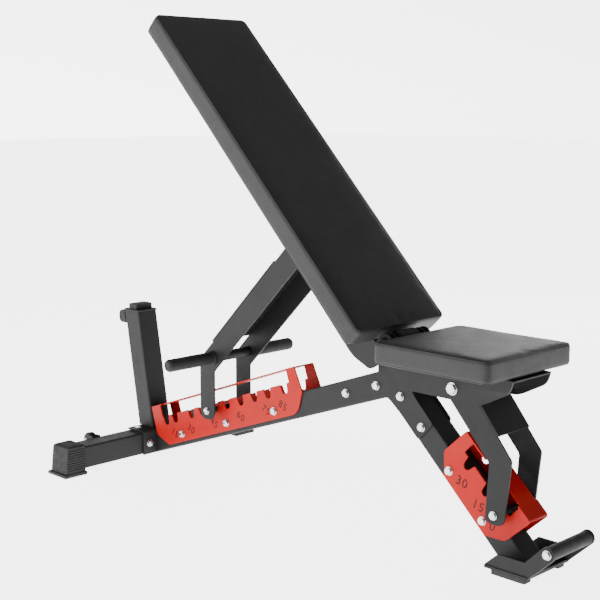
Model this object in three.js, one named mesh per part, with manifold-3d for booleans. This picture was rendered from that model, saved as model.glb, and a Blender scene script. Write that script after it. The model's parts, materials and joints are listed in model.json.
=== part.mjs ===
// Adjustable weight bench: a sloping box-section frame, a hinged backrest and a hinged seat.
// Each of the two pads is propped by a fork whose pin drops into the notches of a red ladder.
//
// Millimetres, +Z up. +X runs from the rear foot towards the seat and the front foot, +Y is the
// left-hand side of somebody who sits on the bench facing +X. The floor is Z = 0.
import * as THREE from 'three';
import * as BufferGeometryUtils from 'three/addons/utils/BufferGeometryUtils.js';
import Module from 'manifold-3d';

const wasm = await Module();
wasm.setup();

// ---------------------------------------------------------------- driving dimensions
const DEG = Math.PI / 180;
const FIT = 0.3; // clearance left between faces that touch on the real bench

// The frame is built about the main axle, which the backrest and the seat share.
const AXLE = { x: -38, z: 447.5 };
const BACK_REST_ANGLE = 45.84; // backrest above horizontal, pin in the notch marked 45
const BACK_FLAT_ANGLE = 0.44; // backrest lying on the cap of the post

const TUBE = 60; // square tube, outside
const HALF = TUBE / 2;
const TUBE_WALL = 2.5;
const TUBE_CORNER = 5;
const SHEET = 3.5; // ladders and knee plates
const PLATE = 4.5; // forks, seat channel and brackets
const SHEET_IN = HALF + FIT;
const SHEET_OUT = SHEET_IN + SHEET;

// Main beam: rises towards the seat from the rear saddle.
const BEAM_SLOPE = 19.6;
const BEAM_ORIGIN = { x: -879.5, z: 23.8 }; // on the underside of the beam
const BEAM_HEIGHT = 62;

// Front leg: falls from the knee to the front foot.
const LEG_SLOPE = 43.7;
const LEG_ORIGIN = { x: -36.1, z: 296.9 }; // on the rear face of the leg
const LEG_DEPTH = 60;

// Rear foot.
const CROSS_X = -946;
const CROSS_Z = 44;
const CROSS_HALF_LENGTH = 316;
const FOOT = { inner: 270, top: 322, bottom: 330, soleInner: 266, soleOuter: 336 };
const SADDLE_HALF_WIDTH = 76;
const SADDLE_TOP = CROSS_Z + HALF + FIT + PLATE;
const SADDLE_FRONT = CROSS_X + HALF + FIT + PLATE;

// Upright post, which carries the flat backrest.
const POST_LEAN = 9.8;
const POST_FOOT_X = -957; // centre of the post where it stands on the saddle
const POST_TOP = 400;
const CAP_TOP = 420;
const POST_HALF = 31.5;

// Backrest, in its own frame: origin on the axle, flat pose, pad towards -X.
const BACK_LENGTH = 991;
const PAD_WIDTH = 302;
const BACK_END = -28.4;
const BACK_TOP = 23.6;
const BACK_THICKNESS = 57.1;
const BACK_UNDER = BACK_TOP - BACK_THICKNESS;
const PAD_CORNER = 16;
const BOARD = 10;
const BOARD_INSET = 14;
const HINGE_Y = 52; // outside of the backrest channel
const HINGE_SHEET = 4;
const HINGE_DEPTH = -111;
const LOBE = 22; // radius of every plate round the axle
const SLEEVE_RADIUS = 24; // thick sleeve on the axle, between the knee plates

// Back support fork.
const PROP_PIVOT = { x: -331.6, z: -80.3 }; // in the backrest frame
const PROP_INNER_Y = 60;
const PROP_OUTER_Y = PROP_INNER_Y + PLATE;
const PROP_ARM_ANGLE = 44.6;
const PROP_ARM_UPPER = 26; // from the line through the pivot to the upper edge of the arm
const PROP_ARM_LOWER = 32; // and to its lower edge
const PROP_LEG_WIDTH = 55;
const PROP_SPACER_RADIUS = 20; // spacer on the pivot bolt, between the cheeks of the channel
const PIN_RADIUS = 8;

// Ladders: notches along a line parallel to the tube that carries them.
const TOOTH_TOP = 91;
const PIN_LINE = 73.8;
const NOTCH_HALF = 12.5;
const NOTCH_RADIUS = 9.5;
const NOTCH_LINE = PIN_LINE - PIN_RADIUS - FIT + NOTCH_RADIUS; // centres of the rounded floors
const BRIDGE_HALF = 27; // half width of the bridge beside the windows
const REAR_LADDER_TOP = 125.5;
const REAR_REST_NOTCH = 266; // where the pin lies at BACK_REST_ANGLE
const REAR_ANGLES = [BACK_FLAT_ANGLE, 15, 30, 37.5, BACK_REST_ANGLE, 52.5, 60, 67.5, 75, 85];
const FRONT_LADDER_TOP = 127;
const FRONT_REST_NOTCH = 334; // where the pin lies with the seat level
const SEAT_ANGLES = [30, 15, 0];

// Seat.
const SEAT_REAR = -3;
const SEAT_FRONT = 304;
const SEAT_TOP = 470.8;
const SEAT_THICKNESS = 53.3;
const SEAT_INNER_Y = 64.2;
const SEAT_OUTER_Y = SEAT_INNER_Y + PLATE;
const SEAT_PIVOT = { x: 152, z: 377 };
const SEAT_PROP_INNER_Y = 51;
const SEAT_PROP_OUTER_Y = SEAT_PROP_INNER_Y + PLATE;

// Front foot.
const BASE = { rear: 253, front: 360, half: 78, under: 12, top: 18 };
const HANDLE = { x: 405, z: 78.5, radius: 15 };

// Transport wheels behind the cross tube.
const WHEEL = { x: -1004, z: 60, y: 187, radius: 21.5, half: 9 };

const BOLT = { shank: 5, head: 9.5, thickness: 6 };
const MAIN_AXLE = { shank: 8, head: 14, thickness: 8 };
const PROP_BOLT = { shank: 7, head: 13, thickness: 7 };
const SEAT_BOLT = { shank: 7, head: 13, thickness: 7 };
const PIN_BOLT = { shank: 5, head: 9, thickness: 5 };
const ROUND = 20; // sides of a round hole or shaft

// The finished group is centred between its rearmost and foremost points.
const REARMOST = -1082;
const FOREMOST = HANDLE.x + HANDLE.radius + 2;

// ---------------------------------------------------------------- materials
const finish = (color, roughness, metalness) =>
  new THREE.MeshStandardMaterial({ color, roughness, metalness });
const FRAME_PAINT = () => finish(0x3b3d40, 0.55, 0.35);
const RED_PAINT = () => finish(0xc23a34, 0.5, 0.25);
const RUBBER = () => finish(0x2c2d2f, 0.85, 0);
const BRIGHT_STEEL = () => finish(0xc9ccd0, 0.3, 0.9);
const VINYL = () => finish(0x202123, 0.6, 0);
const PLYWOOD = () => finish(0x2a2724, 0.8, 0);
const NYLON = () => finish(0x1d1e20, 0.6, 0);

// ---------------------------------------------------------------- solids
function toSolid(geometry) {
  const bare = geometry.index ? geometry.toNonIndexed() : geometry.clone();
  bare.deleteAttribute('normal');
  bare.deleteAttribute('uv');
  const merged = BufferGeometryUtils.mergeVertices(bare, 1e-4);
  return new wasm.Manifold(new wasm.Mesh({
    numProp: 3,
    vertProperties: new Float32Array(merged.attributes.position.array),
    triVerts: new Uint32Array(merged.index.array),
  }));
}

function toGeometry(solid) {
  const mesh = solid.getMesh();
  const geometry = new THREE.BufferGeometry();
  geometry.setAttribute('position', new THREE.BufferAttribute(new Float32Array(mesh.vertProperties), 3));
  geometry.setIndex(new THREE.BufferAttribute(new Uint32Array(mesh.triVerts), 1));
  geometry.computeVertexNormals();
  return geometry;
}

// A closed outline through [x, z, radius] points, each corner rounded by its radius.
function outline(points, target = new THREE.Shape()) {
  const count = points.length;
  const at = (i) => new THREE.Vector2(points[(i + count) % count][0], points[(i + count) % count][1]);
  points.forEach(([, , radius = 0], i) => {
    const corner = at(i);
    const before = at(i - 1).sub(corner).normalize();
    const after = at(i + 1).sub(corner).normalize();
    const start = corner.clone().addScaledVector(before, radius);
    const end = corner.clone().addScaledVector(after, radius);
    if (i === 0) target.moveTo(start.x, start.y);
    else target.lineTo(start.x, start.y);
    if (radius > 0) target.quadraticCurveTo(corner.x, corner.y, end.x, end.y);
  });
  target.closePath();
  return target;
}

// A flat plate: an outline in X and Z, from y = low to y = high.
function slab(shape, low, high, segments = 5) {
  const geometry = new THREE.ExtrudeGeometry(shape, {
    depth: high - low,
    bevelEnabled: false,
    curveSegments: segments,
  });
  geometry.rotateX(Math.PI / 2);
  geometry.translate(0, high, 0);
  return toSolid(geometry);
}

// A plan outline in X and Y, from z = low to z = high.
function layer(shape, low, high, segments = 5) {
  const geometry = new THREE.ExtrudeGeometry(shape, {
    depth: high - low,
    bevelEnabled: false,
    curveSegments: segments,
  });
  geometry.translate(0, 0, low);
  return toSolid(geometry);
}

// An outline in Y and Z, from x = low to x = high.
function crosswise(shape, low, high) {
  const geometry = new THREE.ExtrudeGeometry(shape, { depth: high - low, bevelEnabled: false, curveSegments: 4 });
  geometry.rotateX(Math.PI / 2);
  geometry.rotateZ(Math.PI / 2);
  geometry.translate(low, 0, 0);
  return toSolid(geometry);
}

function box(x0, x1, y0, y1, z0, z1) {
  const geometry = new THREE.BoxGeometry(x1 - x0, y1 - y0, z1 - z0);
  geometry.translate((x0 + x1) / 2, (y0 + y1) / 2, (z0 + z1) / 2);
  return toSolid(geometry);
}

// A round bar along Y.
function rod(radius, x, z, low, high, sides = ROUND) {
  const geometry = new THREE.CylinderGeometry(radius, radius, high - low, sides);
  geometry.translate(x, (low + high) / 2, z);
  return toSolid(geometry);
}

// A solid turned about an axis along Y, from [radius, y] points that start and end on the axis.
function turned(profile, x, z, sides = ROUND) {
  const geometry = new THREE.LatheGeometry(profile.map(([r, y]) => new THREE.Vector2(r, y)), sides);
  geometry.translate(x, 0, z);
  return toSolid(geometry);
}

const rectangle = (x0, x1, z0, z1, radius, target) =>
  outline([[x0, z0, radius], [x1, z0, radius], [x1, z1, radius], [x0, z1, radius]], target);

const drill = (solid, radius, holes, reach) =>
  holes.reduce((rest, [x, z]) => rest.subtract(rod(radius, x, z, -reach, reach, 12)), solid);

const join = (first, ...rest) => rest.reduce((sum, solid) => sum.add(solid), first);

// A hollow box-section bar along X, y and z across it.
function hollowBar(from, to, z0, z1) {
  const section = rectangle(-HALF, HALF, z0, z1, TUBE_CORNER);
  section.holes.push(rectangle(-HALF + TUBE_WALL, HALF - TUBE_WALL, z0 + TUBE_WALL, z1 - TUBE_WALL,
    TUBE_CORNER - TUBE_WALL, new THREE.Path()));
  const geometry = new THREE.ExtrudeGeometry(section, {
    depth: to - from, bevelEnabled: false, curveSegments: 3,
  });
  geometry.rotateX(Math.PI / 2);
  geometry.rotateZ(Math.PI / 2);
  geometry.translate(from, 0, 0);
  return toSolid(geometry);
}

// ---------------------------------------------------------------- frames
const bench = new THREE.Group();
bench.name = 'adjustable_bench';
bench.position.x = -(REARMOST + FOREMOST) / 2;

function frameAt(origin, turn, parent = bench) {
  const group = new THREE.Group();
  group.position.set(origin.x, 0, origin.z);
  group.rotation.y = turn * DEG;
  parent.add(group);
  return group;
}

const beamFrame = frameAt(BEAM_ORIGIN, -BEAM_SLOPE);
const legFrame = frameAt(LEG_ORIGIN, LEG_SLOPE);
const backFrame = frameAt(AXLE, BACK_REST_ANGLE);

function add(name, solid, material, parent = bench) {
  const mesh = new THREE.Mesh(toGeometry(solid), material);
  mesh.name = name;
  parent.add(mesh);
  return mesh;
}

// A point of the bench, seen from one of the sloping frames, and the other way round.
function turnPoint({ x, z }, degrees) {
  const c = Math.cos(degrees * DEG);
  const s = Math.sin(degrees * DEG);
  return { x: c * x + s * z, z: -s * x + c * z };
}
const intoFrame = (point, origin, turn) =>
  turnPoint({ x: point.x - origin.x, z: point.z - origin.z }, -turn);
function outOfFrame(point, origin, turn) {
  const turnedPoint = turnPoint(point, turn);
  return { x: turnedPoint.x + origin.x, z: turnedPoint.z + origin.z };
}

const SIDES = [['left', 1], ['right', -1]];

// Bolt with a hex head on the -Y side and a nut of the same size on the +Y side.
function throughBolt(x, z, grip, { shank, head, thickness } = BOLT) {
  return join(
    rod(shank, x, z, -grip - thickness / 2, grip + thickness / 2, 12),
    rod(head, x, z, -grip - FIT - thickness, -grip - FIT, 6),
    rod(head, x, z, grip + FIT, grip + FIT + thickness, 6),
  );
}

// ---------------------------------------------------------------- linkages
const propPivotAt = (angle) => intoFrame(outOfFrame(PROP_PIVOT, AXLE, angle), BEAM_ORIGIN, -BEAM_SLOPE);
const propRest = propPivotAt(BACK_REST_ANGLE);
const PROP_REACH = Math.hypot(propRest.x - REAR_REST_NOTCH, propRest.z - PIN_LINE);
function rearNotch(angle) {
  const pivot = propPivotAt(angle);
  return pivot.x - Math.sqrt(PROP_REACH ** 2 - (pivot.z - PIN_LINE) ** 2);
}

const seatArm = { x: SEAT_PIVOT.x - AXLE.x, z: SEAT_PIVOT.z - AXLE.z };
const seatPivotAt = (angle) => intoFrame(outOfFrame(seatArm, AXLE, -angle), LEG_ORIGIN, LEG_SLOPE);
const seatRest = seatPivotAt(0);
const SEAT_REACH = Math.hypot(seatRest.x - FRONT_REST_NOTCH, seatRest.z - PIN_LINE);
function frontNotch(angle) {
  const pivot = seatPivotAt(angle);
  return pivot.x + Math.sqrt(SEAT_REACH ** 2 - (pivot.z - PIN_LINE) ** 2);
}

// Window of a ladder: notches along its lower edge, the bridge of the sheet above it.
function ladderWindow(left, notches, right, ceiling) {
  const path = new THREE.Path();
  const side = Math.hypot(NOTCH_HALF, TOOTH_TOP - NOTCH_LINE);
  const wall = Math.atan2(TOOTH_TOP - NOTCH_LINE, -NOTCH_HALF) + Math.acos(NOTCH_RADIUS / side);
  path.moveTo(left, ceiling);
  path.lineTo(left, TOOTH_TOP);
  notches.forEach((centre) => {
    path.lineTo(centre - NOTCH_HALF, TOOTH_TOP);
    path.absarc(centre, NOTCH_LINE, NOTCH_RADIUS, wall, 3 * Math.PI - wall, false);
    path.lineTo(centre + NOTCH_HALF, TOOTH_TOP);
  });
  path.lineTo(right, TOOTH_TOP);
  path.lineTo(right, ceiling);
  path.closePath();
  return path;
}

// A ladder is one sheet bent over the tube: two notched cheeks and a bridge across their tops.
function ladder(cheek, window, top) {
  cheek.holes.push(window);
  return slab(cheek, -SHEET_OUT, SHEET_OUT, 4)
    .subtract(box(-200, 800, -SHEET_IN, SHEET_IN, -20, top - SHEET));
}

// The windows run over the bends, so the bridge is narrower between its two ends.
const bendCut = (left, right, top) => join(
  box(left, right, BRIDGE_HALF, 50, TOOTH_TOP + 4, top + 5),
  box(left, right, -50, -BRIDGE_HALF, TOOTH_TOP + 4, top + 5),
);

// ---------------------------------------------------------------- main beam and front leg
const beamAt = (u, w, ...rest) => {
  const point = outOfFrame({ x: u, z: w }, BEAM_ORIGIN, -BEAM_SLOPE);
  return [point.x, point.z, ...rest];
};
const legAt = (s, w, ...rest) => {
  const point = outOfFrame({ x: s, z: w }, LEG_ORIGIN, LEG_SLOPE);
  return [point.x, point.z, ...rest];
};
const cosBeam = Math.cos(BEAM_SLOPE * DEG);
const tanBeam = Math.tan(BEAM_SLOPE * DEG);
const kneeTurn = (BEAM_SLOPE + LEG_SLOPE) * DEG;
const legTop = intoFrame({ x: LEG_ORIGIN.x, z: LEG_ORIGIN.z }, BEAM_ORIGIN, -BEAM_SLOPE);

const KNEE_BOLTS_BEAM = [[746, 32], [846, 32]];
const KNEE_BOLTS_LEG = [[-8, 31], [78, 31]];
const REAR_LADDER_BOLTS = [[102, 32], [295.5, 32], [486, 32]];
const FRONT_LADDER_BOLTS = [[192, 26], [321, 24]];

// The beam runs from the saddle plate to the rear face of the leg, which is w = 0 of the leg frame.
const beamRear = (w) => (SADDLE_FRONT + FIT - BEAM_ORIGIN.x) / cosBeam + w * tanBeam;
const beamFront = (w) => legTop.x - (w - legTop.z) / Math.tan(kneeTurn) - FIT / Math.sin(kneeTurn);
const beamProfile = outline([
  [beamRear(0), 0], [beamFront(0), 0],
  [beamFront(BEAM_HEIGHT), BEAM_HEIGHT], [beamRear(BEAM_HEIGHT), BEAM_HEIGHT],
]);
const beam = hollowBar(beamRear(0) - 30, beamFront(0) + 30, 0, BEAM_HEIGHT)
  .intersect(slab(beamProfile, -HALF - 1, HALF + 1));
add('main_beam', drill(beam, BOLT.shank + FIT, [...KNEE_BOLTS_BEAM, ...REAR_LADDER_BOLTS], 60),
  FRAME_PAINT(), beamFrame);

// The leg is cut along the top of the beam above, and level with the base plate below.
const legFoot = (w) => (LEG_ORIGIN.z - BASE.top - FIT + w * Math.cos(LEG_SLOPE * DEG))
  / Math.sin(LEG_SLOPE * DEG);
const beamTopHere = {
  x: LEG_ORIGIN.x,
  z: BEAM_ORIGIN.z + BEAM_HEIGHT / cosBeam + (LEG_ORIGIN.x - BEAM_ORIGIN.x) * tanBeam,
};
const headPoint = intoFrame(beamTopHere, LEG_ORIGIN, LEG_SLOPE);
const legHead = (w) => headPoint.x + (w - headPoint.z) / Math.tan(kneeTurn);
const legProfile = outline([
  [legHead(0), 0], [legFoot(0), 0], [legFoot(LEG_DEPTH), LEG_DEPTH], [legHead(LEG_DEPTH), LEG_DEPTH],
]);
const leg = hollowBar(legHead(0) - 60, legFoot(LEG_DEPTH) + 30, 0, LEG_DEPTH)
  .intersect(slab(legProfile, -HALF - 1, HALF + 1));
add('front_leg', drill(leg, BOLT.shank + FIT, [...KNEE_BOLTS_LEG, ...FRONT_LADDER_BOLTS], 60),
  FRAME_PAINT(), legFrame);

// Knee plates: one each side, over beam and leg, rising to a lobe round the main axle.
const KNEE_REAR = 705;
const KNEE_LEFT_X = -88;
const kneeEdge = (KNEE_LEFT_X - BEAM_ORIGIN.x + BEAM_HEIGHT * Math.sin(BEAM_SLOPE * DEG)) / cosBeam;
const kneePlate = outline([
  beamAt(KNEE_REAR, BEAM_HEIGHT - 2, 10), beamAt(KNEE_REAR, 3, 10),
  beamAt(legTop.x - 16, 3, 14), legAt(20, 3, 14),
  legAt(93, 3, 9), legAt(93, 62, 9), legAt(-2, 64, 30),
  [AXLE.x + LOBE, AXLE.z], [AXLE.x - LOBE, AXLE.z],
  [AXLE.x - LOBE - 2, AXLE.z - 40, 6], [KNEE_LEFT_X, AXLE.z - 50, 10], beamAt(kneeEdge, BEAM_HEIGHT - 2, 6),
]);
const kneeHoles = [
  ...KNEE_BOLTS_BEAM.map(([u, w]) => beamAt(u, w)),
  ...KNEE_BOLTS_LEG.map(([s, w]) => legAt(s, w)),
];
SIDES.forEach(([side, sign]) => {
  const [low, high] = sign > 0 ? [SHEET_IN, SHEET_OUT] : [-SHEET_OUT, -SHEET_IN];
  const plate = join(slab(kneePlate, low, high), rod(LOBE, AXLE.x, AXLE.z, low, high, 32))
    .subtract(rod(MAIN_AXLE.shank + FIT, AXLE.x, AXLE.z, -60, 60));
  add(`knee_plate_${side}`, drill(plate, BOLT.shank + FIT, kneeHoles, 60), FRAME_PAINT());
});
KNEE_BOLTS_BEAM.forEach(([u, w], i) => {
  add(`knee_beam_bolt_${i + 1}`, throughBolt(u, w, SHEET_OUT), BRIGHT_STEEL(), beamFrame);
});
KNEE_BOLTS_LEG.forEach(([s, w], i) => {
  add(`knee_leg_bolt_${i + 1}`, throughBolt(s, w, SHEET_OUT), BRIGHT_STEEL(), legFrame);
});

// ---------------------------------------------------------------- ladders
const rearCheek = outline([
  [-6, REAR_LADDER_TOP, 4], [-8, 48, 6], [34, 11, 8], [555, 11, 8],
  [575, 22, 5], [602, 61, 4], [595, REAR_LADDER_TOP, 4],
]);
const rearNotches = REAR_ANGLES.map(rearNotch);
const rearWindow = ladderWindow(rearNotches[0] - NOTCH_HALF - 2, rearNotches,
  rearNotches.at(-1) + NOTCH_HALF + 9, REAR_LADDER_TOP - SHEET);
const rearLadder = ladder(rearCheek, rearWindow, REAR_LADDER_TOP)
  .subtract(bendCut(rearNotches[0] - NOTCH_HALF + 4, rearNotches.at(-1) + NOTCH_HALF + 3, REAR_LADDER_TOP));
add('rear_ladder', drill(rearLadder, BOLT.shank + FIT, REAR_LADDER_BOLTS, 60), RED_PAINT(), beamFrame);
REAR_LADDER_BOLTS.forEach(([u, w], i) => {
  add(`rear_ladder_bolt_${i + 1}`, throughBolt(u, w, SHEET_OUT), BRIGHT_STEEL(), beamFrame);
});

const FRONT_LADDER_HOLE = { s: 226, radius: 19 };
const frontCheek = outline([
  [157, FRONT_LADDER_TOP, 5], [152, 46, 6], [183, 16, 6], [190, 6, 4],
  [347, 6, 8], [386, 44, 8], [392, FRONT_LADDER_TOP, 8],
]);
const frontNotches = SEAT_ANGLES.map(frontNotch);
const frontWindow = ladderWindow(frontNotches[0] - NOTCH_HALF - 13, frontNotches,
  frontNotches.at(-1) + NOTCH_HALF + 7, FRONT_LADDER_TOP - SHEET);
const peg = new THREE.CylinderGeometry(FRONT_LADDER_HOLE.radius, FRONT_LADDER_HOLE.radius, 30, 32);
peg.rotateX(Math.PI / 2);
peg.translate(FRONT_LADDER_HOLE.s, 0, FRONT_LADDER_TOP);
const frontLadder = ladder(frontCheek, frontWindow, FRONT_LADDER_TOP).subtract(toSolid(peg))
  .subtract(bendCut(frontNotches[0] + NOTCH_HALF + 6, frontNotches.at(-1) + NOTCH_HALF + 3, FRONT_LADDER_TOP));
add('front_ladder', drill(frontLadder, BOLT.shank + FIT, FRONT_LADDER_BOLTS, 60), RED_PAINT(), legFrame);
FRONT_LADDER_BOLTS.forEach(([s, w], i) => {
  add(`front_ladder_bolt_${i + 1}`, throughBolt(s, w, SHEET_OUT), BRIGHT_STEEL(), legFrame);
});

// ---------------------------------------------------------------- rear foot
const crossLeft = CROSS_X - HALF;
const crossRight = CROSS_X + HALF;
const crossSection = rectangle(crossLeft, crossRight, CROSS_Z - HALF, CROSS_Z + HALF, TUBE_CORNER);
crossSection.holes.push(rectangle(crossLeft + TUBE_WALL, crossRight - TUBE_WALL,
  CROSS_Z - HALF + TUBE_WALL, CROSS_Z + HALF - TUBE_WALL, TUBE_CORNER - TUBE_WALL, new THREE.Path()));
const SADDLE_BOLT = { x: CROSS_X - 11, y: 57, facingY: 54, depth: 12 };

// Bolts that hold the saddle: two stand on its top, two face forwards beside the beam.
const upright = (radius, x, y, low, high, sides) => {
  const geometry = new THREE.CylinderGeometry(radius, radius, high - low, sides);
  geometry.rotateX(Math.PI / 2);
  geometry.translate(x, y, (low + high) / 2);
  return toSolid(geometry);
};
const lengthwise = (radius, y, z, low, high, sides) => {
  const geometry = new THREE.CylinderGeometry(radius, radius, high - low, sides);
  geometry.rotateZ(Math.PI / 2);
  geometry.translate((low + high) / 2, y, z);
  return toSolid(geometry);
};
const saddleHoles = (radius) => SIDES.map(([, sign]) => join(
  upright(radius, SADDLE_BOLT.x, sign * SADDLE_BOLT.y, CROSS_Z + 10, SADDLE_TOP + 10, 12),
  lengthwise(radius, sign * SADDLE_BOLT.facingY, CROSS_Z, CROSS_X + 10, SADDLE_FRONT + 10, 12),
));
const crossTube = slab(crossSection, -CROSS_HALF_LENGTH, CROSS_HALF_LENGTH, 3);
const wheelScrewHoles = SIDES.map(([, sign]) =>
  lengthwise(4 + FIT, sign * WHEEL.y, CROSS_Z - 12, crossLeft - 10, crossLeft + 10, 16));
add('rear_cross_tube',
  [...saddleHoles(BOLT.shank + FIT), ...wheelScrewHoles].reduce((tube, hole) => tube.subtract(hole), crossTube),
  FRAME_PAINT());

const saddleProfile = outline([
  [crossLeft - 4, CROSS_Z + HALF + FIT], [crossRight + FIT, CROSS_Z + HALF + FIT],
  [crossRight + FIT, CROSS_Z - HALF - 1], [SADDLE_FRONT, CROSS_Z - HALF - 1],
  [SADDLE_FRONT, SADDLE_TOP, 4], [crossLeft - 4, SADDLE_TOP],
]);
const saddle = slab(saddleProfile, -SADDLE_HALF_WIDTH, SADDLE_HALF_WIDTH, 3);
add('saddle_bracket', saddleHoles(BOLT.shank + FIT).reduce((rest, hole) => rest.subtract(hole), saddle),
  FRAME_PAINT());
SIDES.forEach(([side, sign]) => {
  const y = sign * SADDLE_BOLT.y;
  add(`saddle_top_bolt_${side}`, join(
    upright(BOLT.shank, SADDLE_BOLT.x, y, SADDLE_TOP - SADDLE_BOLT.depth, SADDLE_TOP + 3, 12),
    upright(BOLT.head, SADDLE_BOLT.x, y, SADDLE_TOP + FIT, SADDLE_TOP + FIT + BOLT.thickness, 6),
  ), BRIGHT_STEEL());
  const facing = sign * SADDLE_BOLT.facingY;
  add(`saddle_front_bolt_${side}`, join(
    lengthwise(BOLT.shank, facing, CROSS_Z, SADDLE_FRONT - SADDLE_BOLT.depth, SADDLE_FRONT + 3, 12),
    lengthwise(BOLT.head, facing, CROSS_Z, SADDLE_FRONT + FIT, SADDLE_FRONT + FIT + BOLT.thickness, 6),
  ), BRIGHT_STEEL());
});

// Rubber foot caps: ribbed front and back, with a lip round the sole.
const CAP = { half: 34.5, rib: 1.6, ribs: 9, from: 14, pitch: 6.6, top: 82, sole: 9, lip: 9 };
const ribbedSide = (sign) => Array.from({ length: CAP.ribs }, (_, i) => {
  const z = CAP.from + i * CAP.pitch;
  const x = CROSS_X + sign * CAP.half;
  const outer = x + sign * CAP.rib;
  return [[x, z], [outer, z + 1], [outer, z + 3.4], [x, z + 4.4]];
}).flat();
const capProfile = outline([
  [CROSS_X - CAP.half - CAP.lip, 0, 2], [CROSS_X + CAP.half + 3, 0, 2], [CROSS_X + CAP.half + 3, CAP.sole, 2],
  [CROSS_X + CAP.half, CAP.sole], ...ribbedSide(1),
  [CROSS_X + CAP.half, CAP.top, 6], [CROSS_X - CAP.half, CAP.top, 6], ...ribbedSide(-1).reverse(),
  [CROSS_X - CAP.half, CAP.sole], [CROSS_X - CAP.half - CAP.lip, CAP.sole, 2],
]);
// Seen along X, a cap leans in towards its top and stands on a wider sole.
const capEnd = (sign) => outline([
  [sign * FOOT.soleInner, 0], [sign * FOOT.soleOuter, 0, 3], [sign * FOOT.soleOuter, CAP.sole, 3],
  [sign * FOOT.bottom, CAP.sole], [sign * FOOT.top, CAP.top, 8], [sign * FOOT.inner, CAP.top, 4],
  [sign * FOOT.inner, CAP.sole], [sign * FOOT.soleInner, CAP.sole],
]);
SIDES.forEach(([side, sign]) => {
  const ends = [sign * (FOOT.soleInner - 2), sign * (FOOT.soleOuter + 2)].sort((a, b) => a - b);
  const pocket = [sign * (FOOT.soleInner - 10), sign * (CROSS_HALF_LENGTH + FIT)].sort((a, b) => a - b);
  const hollow = rectangle(crossLeft - FIT, crossRight + FIT, CROSS_Z - HALF - FIT, CROSS_Z + HALF + FIT,
    TUBE_CORNER - 1);
  const cap = slab(capProfile, ...ends, 3).intersect(crosswise(capEnd(sign), CROSS_X - 60, CROSS_X + 60));
  add(`rear_foot_cap_${side}`, cap.subtract(slab(hollow, ...pocket, 3)), RUBBER());
});

// ---------------------------------------------------------------- upright post
const postFrame = frameAt({ x: POST_FOOT_X, z: SADDLE_TOP }, -POST_LEAN);
const leanCos = Math.cos(POST_LEAN * DEG);
const leanTan = Math.tan(POST_LEAN * DEG);
// Height along the leaning post of a level cut at height z, at distance x in front of its middle.
const levelCut = (x, z) => (z - SADDLE_TOP) / leanCos - x * leanTan;
const postSection = rectangle(-POST_HALF, POST_HALF, -POST_HALF, POST_HALF, TUBE_CORNER);
postSection.holes.push(rectangle(-POST_HALF + TUBE_WALL, POST_HALF - TUBE_WALL, -POST_HALF + TUBE_WALL, POST_HALF - TUBE_WALL,
  TUBE_CORNER - TUBE_WALL, new THREE.Path()));
const postProfile = outline([
  [-POST_HALF - 1, levelCut(-POST_HALF - 1, SADDLE_TOP + FIT)], [POST_HALF + 1, levelCut(POST_HALF + 1, SADDLE_TOP + FIT)],
  [POST_HALF + 1, levelCut(POST_HALF + 1, POST_TOP)], [-POST_HALF - 1, levelCut(-POST_HALF - 1, POST_TOP)],
]);
add('upright_post',
  layer(postSection, -20, POST_TOP, 3).intersect(slab(postProfile, -POST_HALF - 1, POST_HALF + 1)),
  FRAME_PAINT(), postFrame);

// The flat backrest comes down on a rubber cap in the top of the post.
const postTopX = POST_FOOT_X - (POST_TOP - SADDLE_TOP) * leanTan;
const postLayer = (halfX, halfY, low, high, radius) =>
  layer(rectangle(postTopX - halfX, postTopX + halfX, -halfY, halfY, radius), low, high, 3);
add('post_cap', join(
  postLayer(POST_HALF + 2, POST_HALF + 2, POST_TOP + FIT, POST_TOP + 5, 5),
  postLayer(18.5, 28, POST_TOP + 4, CAP_TOP, 5),
  postLayer(18, 25, POST_TOP - 14, POST_TOP + 4, 3),
), RUBBER());

// Bumper that the bench stands on when it is stored on end.
const BUMPER = { low: 361, high: 397, half: 24, neck: 12, step: 4 };
const postRear = (z) => POST_FOOT_X - (z - SADDLE_TOP) * leanTan - POST_HALF / leanCos - FIT;
const bumperNeck = outline([
  [postRear(BUMPER.low + BUMPER.step), BUMPER.low + BUMPER.step],
  [postRear(BUMPER.high - BUMPER.step), BUMPER.high - BUMPER.step],
  [postRear(BUMPER.high) - 20, BUMPER.high - BUMPER.step],
  [postRear(BUMPER.low) - 20, BUMPER.low + BUMPER.step],
]);
const bumperFoot = outline([
  [postRear(BUMPER.low) - BUMPER.neck, BUMPER.low], [postRear(BUMPER.high) - BUMPER.neck, BUMPER.high],
  [REARMOST, BUMPER.high, 15], [REARMOST, BUMPER.low, 15],
]);
add('post_bumper', join(
  slab(bumperFoot, -BUMPER.half, BUMPER.half, 8),
  slab(bumperNeck, -BUMPER.half + BUMPER.step, BUMPER.half - BUMPER.step),
), RUBBER());

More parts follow.
